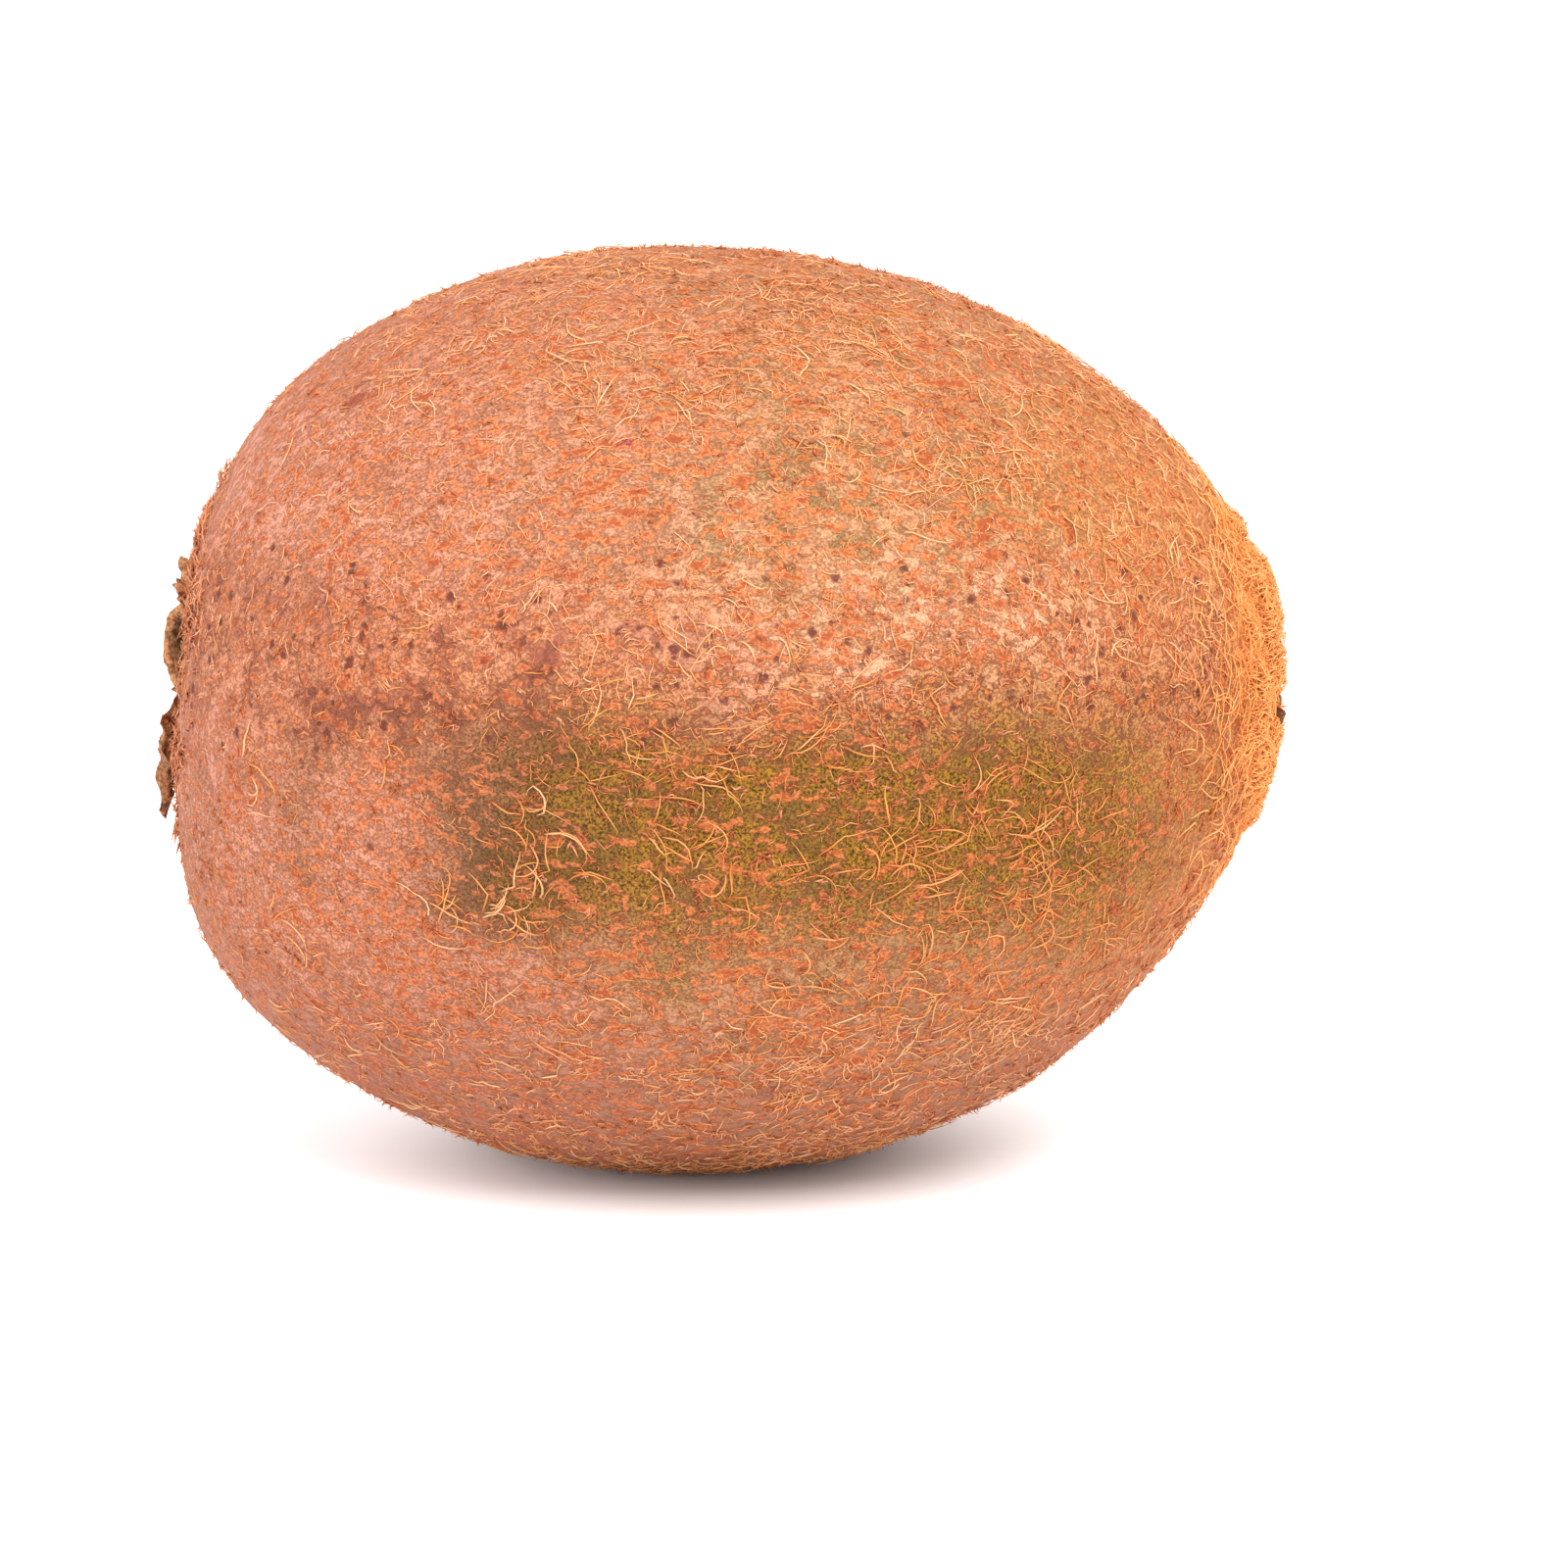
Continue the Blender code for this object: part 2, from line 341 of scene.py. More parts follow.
# They lie over each other, from the tan base to the stains. The stalk half is pinker.
drabness = mottle - 0.07 * along.rising(12, 19) * along.rising(28, 24)
color = peel_finish.mix(drabness.rising(0.53, 0.43) * 0.9, tan, drab)
color = peel_finish.mix(stem_side * 0.8, color, pink)
# Painted light: the upper side of the skin near the stalk end's rim is lightened towards a pale
# flush.
painted_light_at_stem_rim = along.rising(-20, -29) * upward.rising(-6, 4)
color = peel_finish.mix(painted_light_at_stem_rim * 0.35, color, painted_light_flush)
blotches = peel_finish.clouds(even, 4, detail=5, roughness=0.65)
color = peel_finish.mix(blotches.rising(0.50, 0.64) * 0.45, color, russet)
color = peel_finish.mix(blossom_side * 0.6, color, ochre)
color = peel_finish.mix((upward + 8 * wander).rising(14, 24) * 0.35, color, rubbed)
# Low down the skin is mixed towards a darker mauve: partly its own colour, partly painted shade.
low = (upward + 8 * wander).rising(-6, -20)
color = peel_finish.mix(low * 0.75, color, mauve_and_painted_shade)
color = peel_finish.mix(shoulder * front * 0.75, color, rubbed)
# The crest of the shoulder turns pale: partly paler skin, partly a painted highlight.
color = peel_finish.mix(pale_crest_and_highlight * mottle.rising(0.36, 0.60) * 0.7, color, pale)

# A wine-coloured stain runs along the top of the shoulder, near the stalk.
stained = front * along.rising(6, -8) * (upward + 4 * wander).rising(1.5, 4)
stained = stained * (upward + 4 * wander).rising(11, 8)
stain = mottle + 0.6 * wander
color = peel_finish.mix(stained * stain.rising(0.44, 0.56) * 0.6, color, wine)
color = peel_finish.mix(stained * stain.rising(0.55, 0.61) * 0.45, color, dark_wine)

# Low on the front the skin is a dark olive, partly its own colour and partly painted shade, and
# darker still towards the stalk, partly grime and partly painted shade.
leaning = along + 1.2 * upward.maths("MINIMUM", upward + 7, 0) + 26 * wander
leaning = leaning + 6 * (mottle - 0.5)
olive_and_shade_zone = underside * front * leaning.rising(-24, -9)
olive_and_shade_zone = olive_and_shade_zone * (along + 14 * wander).rising(32, 20)
olive = peel_finish.mix((along + 12 * wander).rising(-4, -14), olive, grime_and_painted_shade)
olive = peel_finish.mix(mottle.rising(0.48, 0.60) * 0.5, olive, dark_olive)
color = peel_finish.mix(olive_and_shade_zone * 0.96, color, olive)
color = peel_finish.mix(brush_end, color, ochre)

# Scurf: small rusty flakes of dead skin, a little drawn out lengthwise as the fruit grew. Round
# the edge of each is a painted shade, a dark brown ring for the shadow in its crevice, darker along
# the brink of the shoulder.
region = peel_finish.clouds(even, 5, detail=1)
ragged = peel_finish.stir(lengthwise, 0.35, 0.35)
flakes = peel_finish.clouds(ragged, 0.6, detail=3, roughness=0.55) + (region - 0.5) * 0.16
flakes = flakes - olive_and_shade_zone * 0.06 - shoulder * front * 0.02
crevice_shade = flakes.rising(0.42, 0.48) * flakes.rising(0.54, 0.48)
deeper_shade_at_brink = shoulder * front * (upward + 5 * wander).rising(12, 4) * (1 - stem_side)
crevice_shade_brown, deep_rust = (0.155, 0.054, 0.023), (0.29, 0.055, 0.018)
# Painted shade: a dark brown ring round each flake, deeper along the shoulder's brink.
color = peel_finish.mix(crevice_shade * (0.55 + 0.4 * deeper_shade_at_brink), color, crevice_shade_brown)
rust = tone((0.37, 0.092, 0.024), (0.64, 0.195, 0.058))
brick = tone((0.25, 0.062, 0.020), (0.52, 0.145, 0.050))
rosy = tone((0.36, 0.098, 0.042), (0.65, 0.210, 0.098))
dull_rust = (0.28, 0.105, 0.045)
# Low down and on the olive band the flakes are darker brick as well, and duller near the stalk:
# partly painted shade, like the skin there. Along the shoulder they are browner.
stem_grime_and_shade = olive_and_shade_zone * (along + 12 * wander).rising(-2, -14)
rust = peel_finish.mix(low * 0.5 + olive_and_shade_zone * 0.3 + shoulder * front * 0.7, rust, brick)
rust = peel_finish.mix(stem_grime_and_shade * 0.6, rust, dull_rust)
rust = peel_finish.mix(stem_side * 0.4, rust, rosy)
color = peel_finish.mix(flakes.rising(0.49, 0.56) * 0.8, color, rust)
color = peel_finish.mix(flakes.rising(0.58, 0.66) * 0.75, color, deep_rust)

# Dark pits where hairs have broken away, thickest along the rubbed shoulder. The worn skin near
# the stalk is also crazed with fine cracks.
pit_place = peel_finish.stir(even, 0.45, 0.7)
pit_kind, pit_size, _ = peel_finish.parts(peel_finish.cells(pit_place, 0.95, output="Color"))
pits = peel_finish.cells(pit_place, 0.95) + 0.2 * pit_size
pits = pits.rising(0.44, 0.18) - pits.rising(0.12, 0.03) * 0.3
pits = pits * (pit_kind + 0.62 * shoulder * front - 0.3 * olive_and_shade_zone).rising(0.78, 1.08)
pit_brown, crack_brown = (0.125, 0.030, 0.022), (0.18, 0.052, 0.028)
color = peel_finish.mix(pits * 0.92, color, pit_brown)
crack_place = peel_finish.stir(even, 0.8, 1.3)
cracks = peel_finish.cells(crack_place, 1.8, feature="DISTANCE_TO_EDGE").rising(0.07, 0.0)
cracks = cracks * shoulder * front * (along + 8 * wander).rising(-4, -12)
cracks = cracks * mottle.rising(0.38, 0.56)
color = peel_finish.mix(cracks * 0.75, color, crack_brown)

# Two old blemishes on the front: a rusty scratch near the stalk and a small purple bruise.
for mark_along, mark_up, stretch, mark_size, mark_color in (
    (-20.4, 19.4, 0.35, 0.80, (0.26, 0.05, 0.025)),
    (-5.3, 18.2, 0.7, 0.50, (0.22, 0.035, 0.045)),
):
    start = fruit_middle + Vector((mark_along * MM, -100 * MM, mark_up * MM))
    spot = solid_surface.ray_cast(start, Vector((0, 1, 0)))[0]
    mark = peel_finish.place(shift=spot, scale=(stretch, 1, 1))
    mark = peel_finish.distance(mark) + (grain - 0.5) * 0.8 + (mottle - 0.5) * 1.5
    mark = mark.rising(mark_size, 0.4 * mark_size)
    color = peel_finish.mix(mark * 0.8, color, mark_color)
peel_finish.give("Base Color", color)
relief = flakes * 0.25 + grain * 0.03 + mottle * 0.12 - pits * 0.10 - crevice_shade * 0.03 - cracks * 0.05
peel_finish.roughen(relief)
peel_mesh.materials.append(peel_finish.material)

# ---------------------------------------------------------------------------------------------
# The hairs: dry, kinked, straw-coloured strands that lie on the skin. They are thick on the
# blossom half and sparse near the stalk, and grow in small groups.

chance = np.random.default_rng(31)
TINTS = 32  # hairs take one of this many tints, from rusty to pale
HAIR_GROUPS, HAIRS_IN_GROUP = 1050, 3
FINE_HAIRS = 12000
STUB_TUFTS, STUBS_IN_TUFT = 8500, 3
ROOT_DEPTH = 0.03 * MM  # hairs start this far under the skin
TABLE_GAP = 0.05 * MM  # and none comes nearer to the table than this

pace_down = np.linalg.norm(down_rows, axis=-1)
pace_round = np.linalg.norm(round_columns, axis=-1)
plot_area = pace_down * pace_round
plot_area[:FIRST_ROW], plot_area[-FIRST_ROW:] = 0, 0
from_middle = (skin - np.array(fruit_middle)) / MM


def read(field, row, column):
    """The values of a grid such as skin at places between its rows and columns."""
    row = np.clip(row, 0, ROWS - 1e-6)
    top, left = np.floor(row).astype(int), np.floor(column).astype(int)
    below, beside = row - top, column - left
    if field.ndim > 2:
        below, beside = below[:, None], beside[:, None]
    left, right = left % COLUMNS, (left + 1) % COLUMNS
    upper = field[top, left] * (1 - beside) + field[top, right] * beside
    lower = field[top + 1, left] * (1 - beside) + field[top + 1, right] * beside
    return upper * (1 - below) + lower * below


def clumps(size, seed):
    """Noise over the skin, from 0 to 1, with lumps about size millimetres apart."""
    shift = Vector((seed, 0, 0))
    coarse = from_middle[::3, ::3].reshape(-1, 3)
    values = np.array([noise.noise(Vector(place) / size + shift) for place in coarse])
    values = values.reshape(from_middle[::3, ::3].shape[:2]).repeat(3, axis=0).repeat(3, axis=1)
    return np.clip(values[: ROWS + 1, :COLUMNS] + 0.5, 0, 1)


def scatter(count, thickly):
    """Random places on the skin. thickly says how closely they stand over the grid."""
    share = (thickly * plot_area).ravel()
    chosen = chance.choice(share.size, count, p=share / share.sum())
    row, column = np.divmod(chosen, COLUMNS)
    return row + chance.random(count), column + chance.random(count)


def comb(row, column, heading, length, lift, tip_lift, kink, steps):
    """Leads each hair over the skin from its root. heading is 0 towards the blossom end."""
    length = np.broadcast_to(length, row.shape)
    bend = chance.normal(0, 0.5, row.shape) * kink
    crook, crook_step = chance.normal(0, 0.8, row.shape), chance.integers(1, steps, row.shape)
    places = []
    for step in range(steps + 1):
        share = step / steps
        height = lift * math.sin(math.pi * share**0.8) + tip_lift * share**2 - ROOT_DEPTH
        height = np.reshape(height * np.ones(row.shape), (-1, 1))
        places.append(read(skin, row, column) + read(facing, row, column) * height)
        heading = heading + bend + chance.normal(0, 0.4, row.shape) * kink
        heading = heading + crook * (step == crook_step)
        stride = length / steps
        row = row + stride * np.cos(heading) / read(pace_down, row, column)
        column = column + stride * np.sin(heading) / read(pace_round, row, column)
        row = np.clip(row, FIRST_ROW, ROWS - FIRST_ROW)
    places = np.stack(places, axis=1)
    places[..., 2] = np.maximum(places[..., 2], TABLE_GAP)
    return places


# The section of every hair: a triangle of radius 1, which a strand's own radius scales.
hair_outline = bpy.data.curves.new("hair_outline", "CURVE")
corners = hair_outline.splines.new("POLY")
corners.points.add(2)
for number, corner in enumerate(corners.points):
    turn = -math.tau * number / 3
    corner.co = (math.cos(turn), math.sin(turn), 0, 1)
corners.use_cyclic_u = True
hair_outline_object = bpy.data.objects.new("hair_outline", hair_outline)
bpy.context.scene.collection.objects.link(hair_outline_object)


def grow(name, places, thickness, tint, finish, pieces=1):
    """Makes tapered three-sided hairs along their places, as one or several pieces."""
    steps = places.shape[1] - 1
    share = np.linspace(0, 1, steps + 1)
    taper = 1.35 - 0.75 * share - 0.42 * share**4
    tint = np.clip(tint, 0, TINTS - 1).astype(int)
    made = []
    for number, part in enumerate(np.array_split(np.arange(len(places)), pieces)):
        label = f"{name}_{number + 1}" if pieces > 1 else name
        curve = bpy.data.curves.new(label, "CURVE")
        curve.dimensions = "3D"
        curve.bevel_mode = "OBJECT"
        curve.bevel_object = hair_outline_object
        curve.use_fill_caps = True
        for index in part:
            strand = curve.splines.new("POLY")
            strand.points.add(steps)
            spots = np.column_stack([places[index], np.ones(steps + 1)])
            strand.points.foreach_set("co", spots.ravel())
            strand.points.foreach_set("radius", taper * thickness[index] / 2)
        guide = bpy.data.objects.new(label, curve)
        bpy.context.scene.collection.objects.link(guide)
        ready = guide.evaluated_get(bpy.context.evaluated_depsgraph_get())
        mesh = bpy.data.meshes.new_from_object(ready)
        bpy.data.objects.remove(guide)
        bpy.data.curves.remove(curve)
        map_hairs(mesh, tint[part], steps)
        closed = bmesh.new()
        closed.from_mesh(mesh)
        bmesh.ops.remove_doubles(closed, verts=closed.verts, dist=0.0001 * MM)
        closed.to_mesh(mesh)
        closed.free()
        mesh.shade_smooth()
        mesh.materials.clear()
        mesh.materials.append(finish.material)
        piece = bpy.data.objects.new(label, mesh)
        bpy.context.scene.collection.objects.link(piece)
        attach(piece, "root")
        made.append(piece)
    return made


def map_hairs(mesh, tint, steps):
    """Lays the hairs out on a map: across it their tint, up it from root to tip."""
    layer = mesh.uv_layers[0]
    layer.name = "OFBake"
    spots = np.zeros(len(mesh.loops) * 2, np.float32)
    layer.uv.foreach_get("vector", spots)
    along_hair, round_hair = spots.reshape(-1, 2).T
    # The corners of the hairs' two end caps come first, and have no map of their own.
    along_hair[: 6 * len(tint)] = np.tile((1, 1, 1, 0, 0, 0), len(tint))
    tint = np.concatenate([tint.repeat(6), tint.repeat(12 * steps)])
    spots = np.column_stack([(tint + 0.15 + 0.7 * round_hair) / TINTS, 0.02 + 0.96 * along_hair])
    layer.uv.foreach_set("vector", spots.astype(np.float32).ravel())


def hair_finish(name, root, tip, pale):
    """A hair's colours: from root to tip, and towards pale in the hairs of higher tint."""
    finish = Finish(name, Roughness=0.6, Specular_IOR_Level=0.2)
    tint, up_hair, _ = finish.parts(finish.node("ShaderNodeUVMap", {"uv_map": "OFBake"}))
    color = finish.mix(up_hair.rising(0.0, 0.6), root, tip)
    finish.give("Base Color", finish.mix(tint.rising(0.1, 1.0) * 0.85, color, pale))
    return finish


def spread(row, column, apart, each):
    """Several hairs in place of each one, a little way apart."""
    row, column = row.repeat(each), column.repeat(each)
    row = row + chance.normal(0, apart, row.shape) / read(pace_down, row, column)
    column = column + chance.normal(0, apart, row.shape) / read(pace_round, row, column)
    return np.clip(row, FIRST_ROW, ROWS - FIRST_ROW), column


blossom_half = between(from_middle[..., 0], -28, 2)
facet = between(from_middle[..., 2], 7, 1) * between(from_middle[..., 1], -4, -14)
facet *= between(from_middle[..., 2], -16, -8)
hair_density = (0.08 + blossom_half) * (0.15 + between(clumps(7, 3), 0.35, 0.75))
straw = hair_finish("straw_hair", (0.46, 0.13, 0.030), (0.78, 0.31, 0.080), (0.90, 0.52, 0.27))
row, column = scatter(HAIR_GROUPS, hair_density)
heading = chance.uniform(-math.pi, math.pi, row.shape)
heading = np.where(read(facet, row, column) > 0.5, 0.3 * heading, heading)
heading = heading.repeat(HAIRS_IN_GROUP)
row, column = spread(row, column, apart=0.55 * MM, each=HAIRS_IN_GROUP)
long_hairs = comb(
    row, column,
    heading=heading + chance.normal(0, 0.5, row.shape),
    length=(chance.uniform(0.9, 3.0, row.shape) + 0.5 * read(facet, row, column)) * MM,
    lift=chance.uniform(0.03, 0.25, row.shape) * MM,
    tip_lift=chance.uniform(0, 0.3, row.shape) * MM,
    kink=0.26 + 0.12 * read(facet, row, column),
    steps=7,
)
thickness = (chance.uniform(0.05, 0.10, row.shape) + 0.03 * read(facet, row, column)) * MM
tint = chance.uniform(0, TINTS, row.shape) - 14 * read(facet * blossom_half, row, column)
tint += 8 * (1 - read(blossom_half, row, column))
for piece in grow("hairs", long_hairs, thickness, tint, straw):
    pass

# Finer and shorter hairs stand between them.
between_density = (0.2 + 0.4 * blossom_half + hair_density) * (1 - 0.5 * facet)
row, column = scatter(FINE_HAIRS, between_density)
fine_hairs = comb(
    row, column,
    heading=chance.uniform(-math.pi, math.pi, row.shape),
    length=chance.uniform(0.4, 1.6, row.shape) * MM,
    lift=chance.uniform(0.0, 0.12, row.shape) * MM,
    tip_lift=chance.uniform(0, 0.25, row.shape) * MM,
    kink=0.3,
    steps=4,
)
thickness = chance.uniform(0.04, 0.075, row.shape) * MM
tint = chance.uniform(0, TINTS, row.shape) - 20 * read(facet, row, column)
for piece in grow("fine_hairs", fine_hairs, thickness, tint, straw, pieces=2):
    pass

# Stubs: short rusty broken hairs that stand in tufts all over and roughen the outline.
rusty = hair_finish("rusty_stubs", (0.27, 0.058, 0.018), (0.50, 0.135, 0.044), (0.84, 0.385, 0.20))
tuft_density = (0.4 + between(clumps(2.5, 9), 0.4, 0.7)) * (0.4 + 0.6 * blossom_half)
row, column = scatter(STUB_TUFTS, tuft_density)
heading = chance.normal(0, 1.0, row.shape) + math.pi * chance.integers(0, 2, row.shape)
tuft_tint = chance.uniform(0, TINTS, row.shape) + 8 * (1 - read(blossom_half, row, column))
tuft_tint = tuft_tint - 14 * read(facet, row, column)
row, column = spread(row, column, apart=0.14 * MM, each=STUBS_IN_TUFT)
stubs = comb(
    row, column,
    heading=heading.repeat(STUBS_IN_TUFT) + chance.normal(0, 0.5, row.shape),
    length=chance.uniform(0.25, 0.75, row.shape) * MM,
    lift=chance.uniform(0.0, 0.06, row.shape) * MM,
    tip_lift=0.45 * chance.random(row.shape) ** 2 * MM,
    kink=0.35,
    steps=2,
)
thickness = chance.uniform(0.06, 0.14, row.shape) * MM
tint = tuft_tint.repeat(STUBS_IN_TUFT) + chance.normal(0, 4, row.shape)
for piece in grow("stubs", stubs, thickness, tint, rusty, pieces=2):
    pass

# ---------------------------------------------------------------------------------------------
# The brush: a matted ochre felt of hair that covers the blossom end in small ragged clumps.

style_low, style_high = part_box("style_remnants")
brush_middle = (style_low + style_high) / 2
BRUSH_REACH = 9.5  # millimetres from its middle to its ragged edge
FELT_HAIRS, SWEEPING_HAIRS, STYLE_THREADS = 15000, 550, 22

from_brush = (skin - np.array(brush_middle)) / MM
brush_distance = np.linalg.norm(from_brush, axis=-1)
brush_edge = BRUSH_REACH + 3.0 * (clumps(3, 17) - 0.5)
brush_density = between(brush_distance, brush_edge + 1.2, brush_edge - 0.8)
brush_clumps = clumps(2.1, 23)
ochre_hair = hair_finish(
    "ochre_brush", (0.66, 0.18, 0.040), (0.93, 0.325, 0.085), (0.98, 0.48, 0.16)
)


def outward_heading(row, column):
    """The heading that leads straight away from the brush's middle."""
    away = read(from_brush, row, column)
    down, round_it = read(down_rows, row, column), read(round_columns, row, column)
    down = (away * down).sum(-1) / read(pace_down, row, column)
    return np.arctan2((away * round_it).sum(-1) / read(pace_round, row, column), down)


row, column = scatter(FELT_HAIRS, brush_density * (0.4 + brush_clumps))
stand = between(read(brush_clumps, row, column), 0.3, 0.75)
fullness = between(read(brush_distance, row, column), BRUSH_REACH + 1, BRUSH_REACH - 1.5)
felt = comb(
    row, column,
    heading=outward_heading(row, column) + chance.normal(0, 1.1, row.shape),
    length=chance.uniform(0.6, 1.9, row.shape) * MM,
    lift=(0.05 + fullness * (0.12 + 0.85 * stand) * chance.random(row.shape)) * MM,
    tip_lift=chance.uniform(0, 0.1, row.shape) * MM,
    kink=0.45,
    steps=3,
)
thickness = chance.uniform(0.05, 0.09, row.shape) * MM
tint = chance.uniform(0, 22, row.shape) + 10 * stand
for piece in grow("brush", felt, thickness, tint, ochre_hair, pieces=2):
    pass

# Longer hairs sweep round the brush's edge and over the shoulder beside it.
ring = between(brush_distance, 7, 11) * between(brush_distance, 18, 12)
row, column = scatter(SWEEPING_HAIRS, ring)
round_it = math.pi / 2 * chance.choice([-1, 1], row.shape) + chance.normal(0, 0.65, row.shape)
sweep = comb(
    row, column,
    heading=outward_heading(row, column) + round_it,
    length=chance.uniform(1.4, 4.0, row.shape) * MM,
    lift=chance.uniform(0.1, 0.4, row.shape) * MM,
    tip_lift=chance.uniform(0, 0.2, row.shape) * MM,
    kink=0.22,
    steps=8,
)
thickness = chance.uniform(0.055, 0.095, row.shape) * MM
tint = chance.uniform(4, TINTS, row.shape)
for piece in grow("brush_edge", sweep, thickness, tint, ochre_hair):
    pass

# The dried styles: a few dark brittle threads, flattened into the middle of the brush.
dark_thread = hair_finish(
    "dry_styles", (0.07, 0.028, 0.014), (0.16, 0.06, 0.028), (0.28, 0.11, 0.05)
)
row, column = scatter(STYLE_THREADS, between(brush_distance, 6.0, 3.5))
threads = comb(
    row, column,
    heading=outward_heading(row, column) + chance.normal(0, 0.8, row.shape),
    length=chance.uniform(0.8, 2.2, row.shape) * MM,
    lift=chance.uniform(0.3, 0.75, row.shape) * MM,
    tip_lift=chance.uniform(0.1, 0.6, row.shape) * MM,
    kink=0.35,
    steps=9,
)
thickness = chance.uniform(0.12, 0.24, row.shape) * MM
for piece in grow("styles", threads, thickness, chance.uniform(0, TINTS, row.shape), dark_thread):
    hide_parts("style_remnants")

# ---------------------------------------------------------------------------------------------
# The stem end: a corky cup where the stalk broke off, with a dark hollow, and five dry crumpled
# sepals pressed on the skin round it, each with a torn edge.

SCAR_OUTLINE = [  # radius and height in millimetres, from the hollow's middle out to the back
    (0.0, -1.1), (1.0, -1.0), (1.6, -0.6), (1.9, 0.0), (2.05, 0.5), (2.3, 0.72),
    (2.55, 0.55), (2.8, 0.1), (2.9, -0.5), (2.4, -1.3), (0.0, -1.4),
]
SCAR_TILT = math.radians(28)
SCAR_SUNK = Vector((0.9 * MM, 0, 0))

cup = bmesh.new()
outline = [cup.verts.new(Vector((-height, 0, radius)) * MM) for radius, height in SCAR_OUTLINE]
outline_edges = [cup.edges.new(pair) for pair in zip(outline, outline[1:])]
bmesh.ops.spin(
    cup, geom=outline + outline_edges, cent=(0, 0, 0), axis=(1, 0, 0), dvec=(0, 0, 0),
    angle=math.tau, steps=64, use_merge=True, use_duplicate=False,
)
bmesh.ops.remove_doubles(cup, verts=cup.verts, dist=0.001 * MM)
bmesh.ops.subdivide_edges(cup, edges=cup.edges, cuts=1, use_grid_fill=True)
for vertex in cup.verts:
    place = vertex.co / MM
    rough = noise.noise(place / 0.9) * 0.22 + noise.noise(place / 0.35) * 0.10
    vertex.co += place.normalized() * rough * MM
cup.transform(Matrix.Rotation(SCAR_TILT, 4, "Z"))
cup.transform(Matrix.Translation(scar_middle + SCAR_SUNK))
bmesh.ops.recalc_face_normals(cup, faces=cup.faces)
cup_mesh = bpy.data.meshes.new("stem_cup")
cup.to_mesh(cup_mesh)
cup.free()
cup_mesh.shade_smooth()
stem_cup = bpy.data.objects.new("stem_cup", cup_mesh)
bpy.context.scene.collection.objects.link(stem_cup)
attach(stem_cup, "root")
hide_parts("stem_scar")

cork = Finish("cork", Roughness=0.8, Specular_IOR_Level=0.15)
cork_place = cork.place(shift=scar_middle + SCAR_SUNK)
cork_grain = cork.clouds(cork_place, 0.35, detail=3)
rim = cork.mix(cork_grain.rising(0.35, 0.65), (0.30, 0.12, 0.045), (0.70, 0.32, 0.14))
hollow = cork.mix(cork_grain.rising(0.35, 0.65), (0.030, 0.016, 0.009), (0.085, 0.042, 0.020))
outside_hollow = (cork.distance(cork_place) + cork_grain * 0.3).rising(1.9, 2.5)
cork.give("Base Color", cork.mix(outside_hollow, hollow, rim))
cork.roughen(cork_grain * 0.25)
cup_mesh.materials.append(cork.material)

stem_reach = np.cumsum(pace_down, axis=0) - pace_down[:1]


def near_scar(distance, angle):
    """Places on the skin at distances from the scar's middle. Angle 0 is straight up from it."""
    off_pole = scar_middle - Vector(skin[0, 0])
    sideways = off_pole.y + distance * np.sin(angle)
    up = off_pole.z + distance * np.cos(angle)
    distance = np.hypot(sideways, up)
    column = (np.arctan2(sideways, up) / math.tau * COLUMNS) % COLUMNS
    row = [
        np.interp(far, stem_reach[:, int(beside)], np.arange(ROWS + 1))
        for far, beside in zip(distance, column)
    ]
    return np.array(row), column


dry_leaf = Finish("dry_leaf", Roughness=0.75, Specular_IOR_Level=0.2)
leaf_place = dry_leaf.place(shift=scar_middle)
leaf_grain = dry_leaf.clouds(leaf_place, 0.22, detail=3, roughness=0.65)
leaf_patch = dry_leaf.clouds(leaf_place, 1.4, detail=3, roughness=0.6)
leaf_color = dry_leaf.mix(leaf_grain.rising(0.34, 0.64), (0.36, 0.125, 0.045), (0.74, 0.33, 0.15))
brown = dry_leaf.mix(leaf_grain.rising(0.34, 0.64), (0.11, 0.05, 0.025), (0.34, 0.16, 0.08))
leaf_color = dry_leaf.mix(leaf_patch.rising(0.52, 0.64) * 0.8, leaf_color, brown)
off_scar = dry_leaf.distance(leaf_place)
dry_ends = (off_scar + 3 * leaf_patch).rising(5.5, 8.5) + off_scar.rising(3.6, 2.4)
leaf_color = dry_leaf.mix(dry_ends * 0.55, leaf_color, brown)
dry_leaf.give("Base Color", leaf_color)
dry_leaf.roughen(leaf_grain * 0.18)

# For each sepal, in millimetres: its start and its reach from the scar's middle, half its width,
# how much it crumples and bulges, and how far its tip lifts.
SEPALS = {
    "sepal_1": (3.0, 5.2, 1.3, 0.35, 0.0, 0.05),
    "sepal_2": (2.2, 5.6, 1.4, 0.7, 0.2, 0.65),
    "sepal_3": (2.2, 6.0, 1.7, 0.8, 0.3, 0.5),
    "sepal_4": (1.9, 7.2, 2.4, 0.9, 0.7, 0.4),
    "sepal_5": (1.9, 8.9, 2.6, 0.9, 0.8, 0.5),
}
SEPAL_THICKNESS = 0.22
LEAF_COLUMNS, LEAF_ROWS = 72, 40


def wavering(across, out, seed, size):
    """Noise from -0.5 to 0.5 over a sepal's length and breadth."""
    places = zip(across, out, np.full(across.shape, 9.0 * seed))
    return np.array([noise.noise(Vector(place) * size) for place in places])


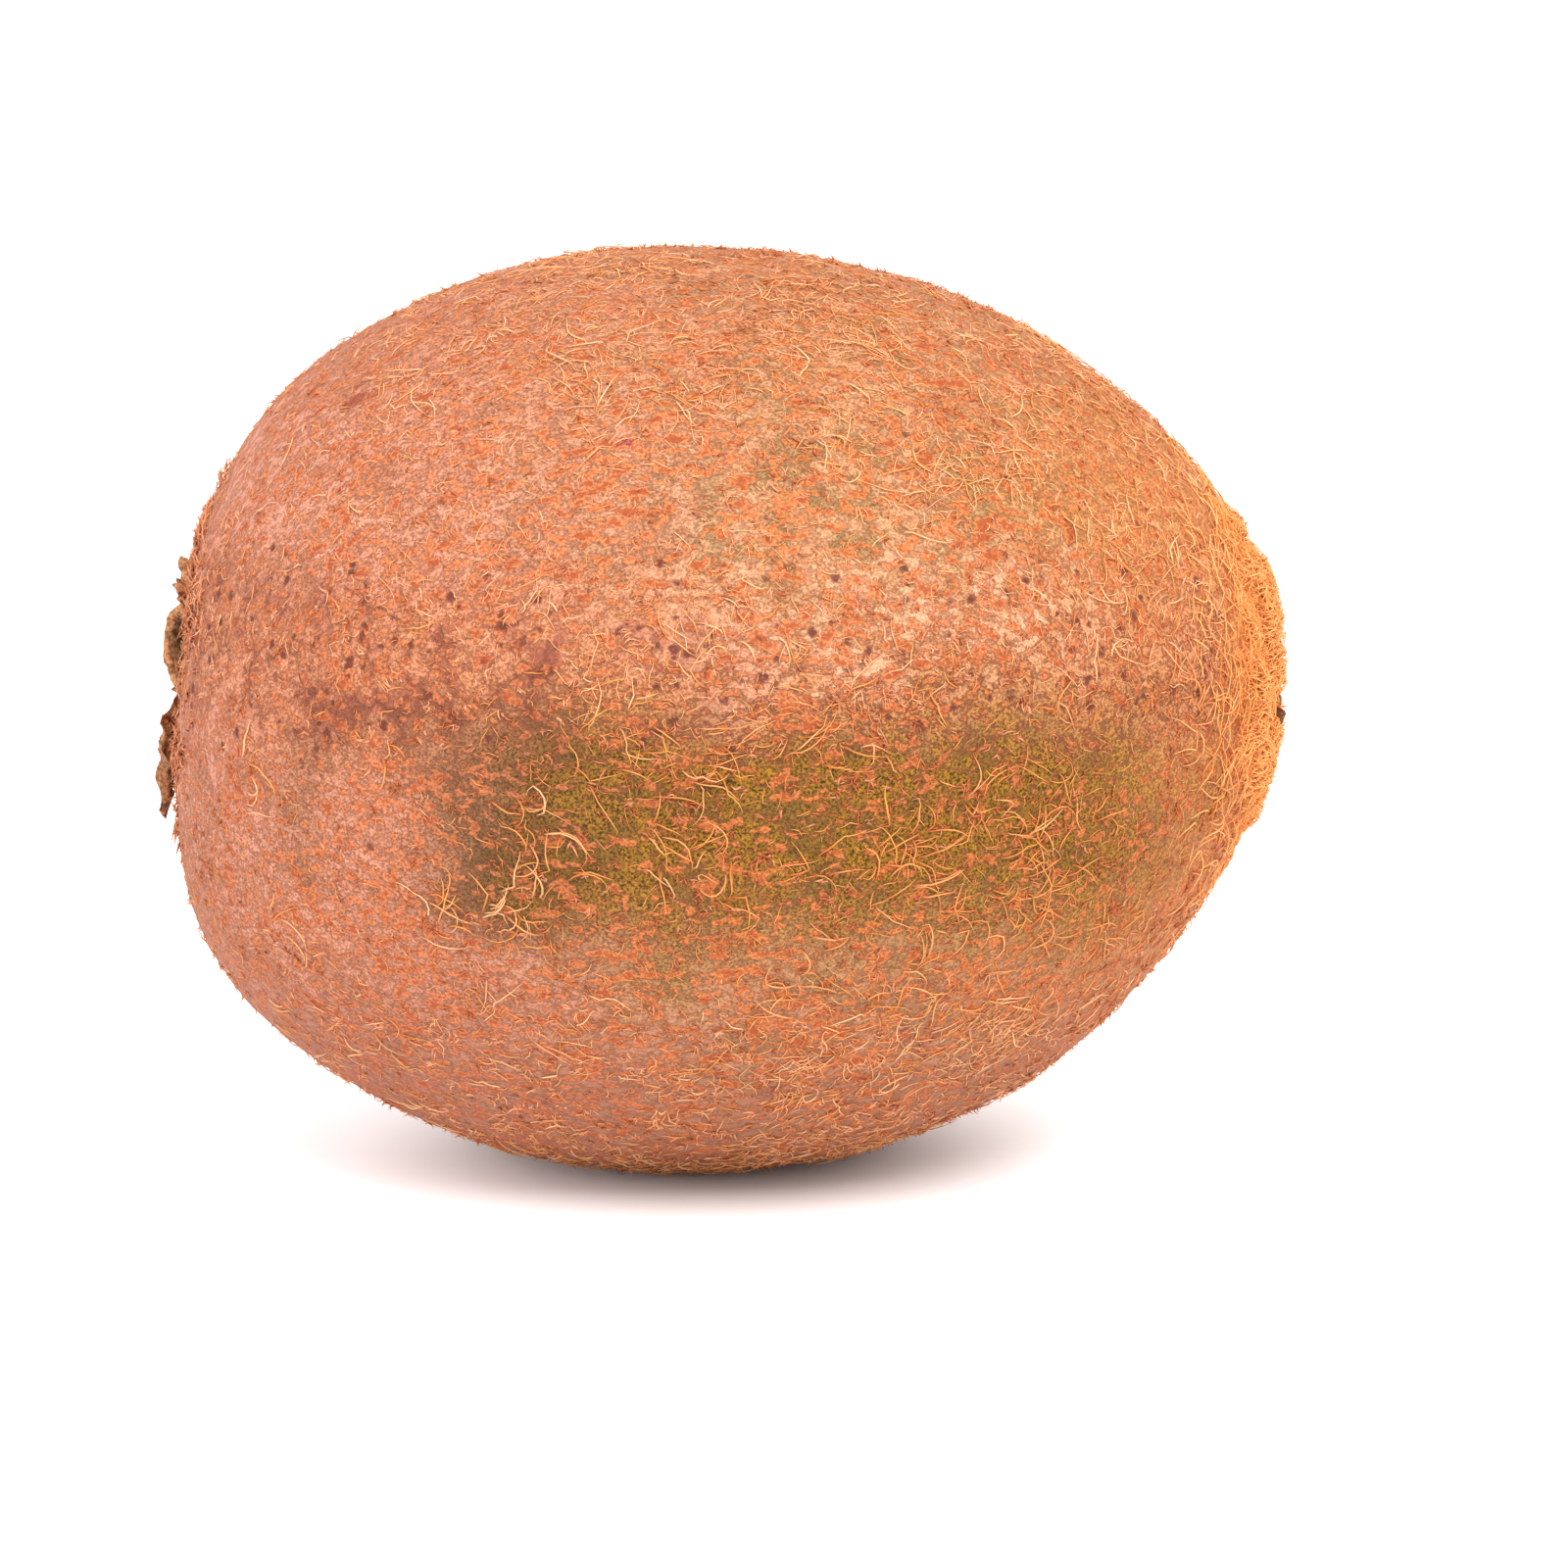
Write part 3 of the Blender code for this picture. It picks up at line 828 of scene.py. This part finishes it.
for number, (name, sizes) in enumerate(SEPALS.items()):
    start, reach_out, half_width, crumpling, bulge, tip_rise = sizes
    low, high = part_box(name)
    toward = (low + high) / 2 - scar_middle
    angle = math.atan2(toward.y, toward.z)
    flap = bmesh.new()
    bmesh.ops.create_uvsphere(flap, u_segments=LEAF_COLUMNS, v_segments=LEAF_ROWS, radius=1)
    across, out, face_side = np.array([vertex.co for vertex in flap.verts]).T
    across = across / np.sqrt(np.maximum(1 - out**2, 0.0001))
    across, out = np.clip(across, -1, 1), (out + 1) / 2
    width = half_width * (1 + 0.5 * np.sin(math.pi * out)) * np.sqrt(1.001 - 0.9 * out**3)
    width *= 1 + 0.7 * wavering(0.3 * across, out, number, 4.0) * out
    distance = start + (reach_out - start) * out
    distance *= 1 + 0.22 * out * wavering(across, 0 * out, number + 0.5, 3.1)
    row, column = near_scar(distance * MM, angle + across * width / distance)
    crumple = wavering(across, out, number, 2.2) + 0.5 * wavering(across, 2 * out, number, 5.0)
    crumple += 0.25 * wavering(across, 2 * out, number, 11.0)
    height = 0.1 + crumpling * (0.2 + crumple) + bulge * np.sin(math.pi * out) + tip_rise * out**4
    height = np.maximum(height, 0.12) + face_side * SEPAL_THICKNESS / 2
    places = read(skin, row, column) + read(facing, row, column) * height[:, None] * MM
    for vertex, place in zip(flap.verts, places):
        vertex.co = place
    # Laid on the skin, a flap can come out facing inward.
    if flap.calc_volume(signed=True) < 0:
        bmesh.ops.reverse_faces(flap, faces=flap.faces)
    flap_mesh = bpy.data.meshes.new(name + "_leaf")
    flap.to_mesh(flap_mesh)
    flap.free()
    flap_mesh.shade_smooth()
    flap_mesh.materials.append(dry_leaf.material)
    leaf = bpy.data.objects.new(name + "_leaf", flap_mesh)
    bpy.context.scene.collection.objects.link(leaf)
    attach(leaf, "root")
    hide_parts(name)

# Coarse rusty hairs stand in tufts among and around the sepals.
COLLAR_HAIRS = 1200
tufts = between(clumps(2.2, 41), 0.5, 0.75)
round_scar = between(from_scar, 2.5, 4) * between(from_scar, 12, 7)
row, column = scatter(COLLAR_HAIRS, round_scar * (0.15 + tufts))
collar = comb(
    row, column,
    heading=chance.normal(0, 0.9, row.shape),
    length=chance.uniform(0.5, 1.5, row.shape) * MM,
    lift=chance.uniform(0.05, 0.3, row.shape) * MM,
    tip_lift=chance.uniform(0.0, 0.6, row.shape) * MM,
    kink=0.45,
    steps=4,
)
thickness = chance.uniform(0.07, 0.14, row.shape) * MM
tint = chance.uniform(10, TINTS, row.shape)
for piece in grow("stem_tufts", collar, thickness, tint, rusty):
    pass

bpy.data.objects.remove(hair_outline_object)

# ---------------------------------------------------------------------------------------------
# The table: white, and lit from within, except under the fruit, where its glow fades to dark as a
# painted shadow.

PAINTED_SHADOW_REACH = (5, 24)  # millimetres from the resting spot, where the glow starts and is whole

table = bmesh.new()
bmesh.ops.create_grid(table, x_segments=1, y_segments=1, size=3)
table_mesh = bpy.data.meshes.new("table")
table.to_mesh(table_mesh)
table.free()
table_top = bpy.data.objects.new("table", table_mesh)
bpy.context.scene.collection.objects.link(table_top)
white_top = Finish(
    "white_table", Base_Color=(0.85, 0.85, 0.85, 1), Roughness=0.6, Emission_Strength=0.46
)
resting_spot = Vector((fruit_middle.x, fruit_middle.y, 0))
under_fruit = white_top.place(shift=resting_spot)
outside_painted_shadow = white_top.distance(under_fruit).rising(*PAINTED_SHADOW_REACH)
# Painted shadow: the table's glow is dark round the fruit's resting spot and whole beyond it.
glow_with_painted_shadow = white_top.mix(outside_painted_shadow, (0.02, 0.02, 0.02), (0.98, 0.98, 1.0))
white_top.give("Emission Color", glow_with_painted_shadow)
table_mesh.materials.append(white_top.material)
